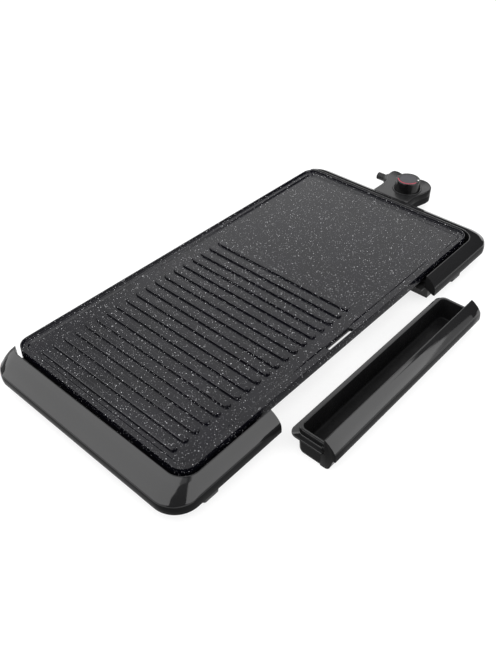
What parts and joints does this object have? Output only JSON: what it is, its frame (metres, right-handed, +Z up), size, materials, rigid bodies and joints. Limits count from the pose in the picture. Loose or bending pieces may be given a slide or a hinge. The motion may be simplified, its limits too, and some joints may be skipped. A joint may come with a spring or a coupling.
{
  "type": "electric table grill",
  "caption": "Long electric table grill: half-ribbed cast plate with drain slot, end frames on feet, pull-out drip tray and a plug-in temperature controller with a turning knob.",
  "frame": {"origin": "middle of the whole part's footprint on the table, with the drip tray drawn out", "axes": "+X along the plate towards the controller, +Y to the rear, away from the drip tray, +Z up"},
  "size_m": [0.6332, 0.34, 0.0467],
  "materials": {
    "coated_plate": "black non-stick coat with fine pale speckles on cast aluminium",
    "gloss_black": "high gloss",
    "matte_black": "fine texture",
    "rubber_black": "matt",
    "steel": "satin",
    "brass_contact": "satin",
    "ceramic_white": "unglazed",
    "knob_grey": "satin",
    "knob_red": "satin",
    "knob_white": "satin"
  },
  "bodies": {
    "grill": {"foot_pad_left_front": "rubber_black", "foot_pad_left_rear": "rubber_black", "foot_pad_right_front": "rubber_black", "foot_pad_right_rear": "rubber_black", "frame_screw_left_arm": "steel", "frame_screw_left_front": "steel", "frame_screw_left_rear": "steel", "frame_screw_right_arm": "steel", "frame_screw_right_front": "steel", "frame_screw_right_rear": "steel", "grill_plate": "coated_plate", "guard_screw_1": "steel", "guard_screw_2": "steel", "heating_element": "steel", "left_base": "matte_black", "left_end_frame": "gloss_black", "plate_screw_left_front": "steel", "plate_screw_left_rear": "steel", "plate_screw_right_front": "steel", "plate_screw_right_rear": "steel", "right_base": "matte_black", "right_end_frame": "gloss_black", "terminal_bush_front": "ceramic_white", "terminal_bush_rear": "ceramic_white", "terminal_guard": "steel", "terminal_pin_front": "steel", "terminal_pin_rear": "steel"},
    "tray": {"drip_tray": "gloss_black"},
    "controller": {"contact_block": "matte_black", "controller_lower_shell": "gloss_black", "controller_upper_shell": "gloss_black", "probe_rod": "steel", "shell_screw_1": "steel", "shell_screw_2": "steel", "shell_screw_3": "steel", "socket_contact_front": "brass_contact", "socket_contact_rear": "brass_contact", "strain_relief": "rubber_black"},
    "knob": {"knob": "matte_black", "knob_arc": "knob_red", "knob_disc": "knob_grey", "knob_pointer": "knob_white"}
  },
  "joints": [
    {"name": "tray_slide", "type": "slide", "parent": "grill", "child": "tray", "axis": [0, 1, 0], "range_m": [0, 0.062]},
    {"name": "controller_slide", "type": "slide", "parent": "grill", "child": "controller", "axis": [1, 0, 0], "range_m": [0, 0.09]},
    {"name": "knob_turn", "type": "hinge", "parent": "controller", "child": "knob", "pos_m": [0.28024, 0.04085, 0.04], "axis": [0, 0, 1], "range_deg": [-270, 0]}
  ]
}
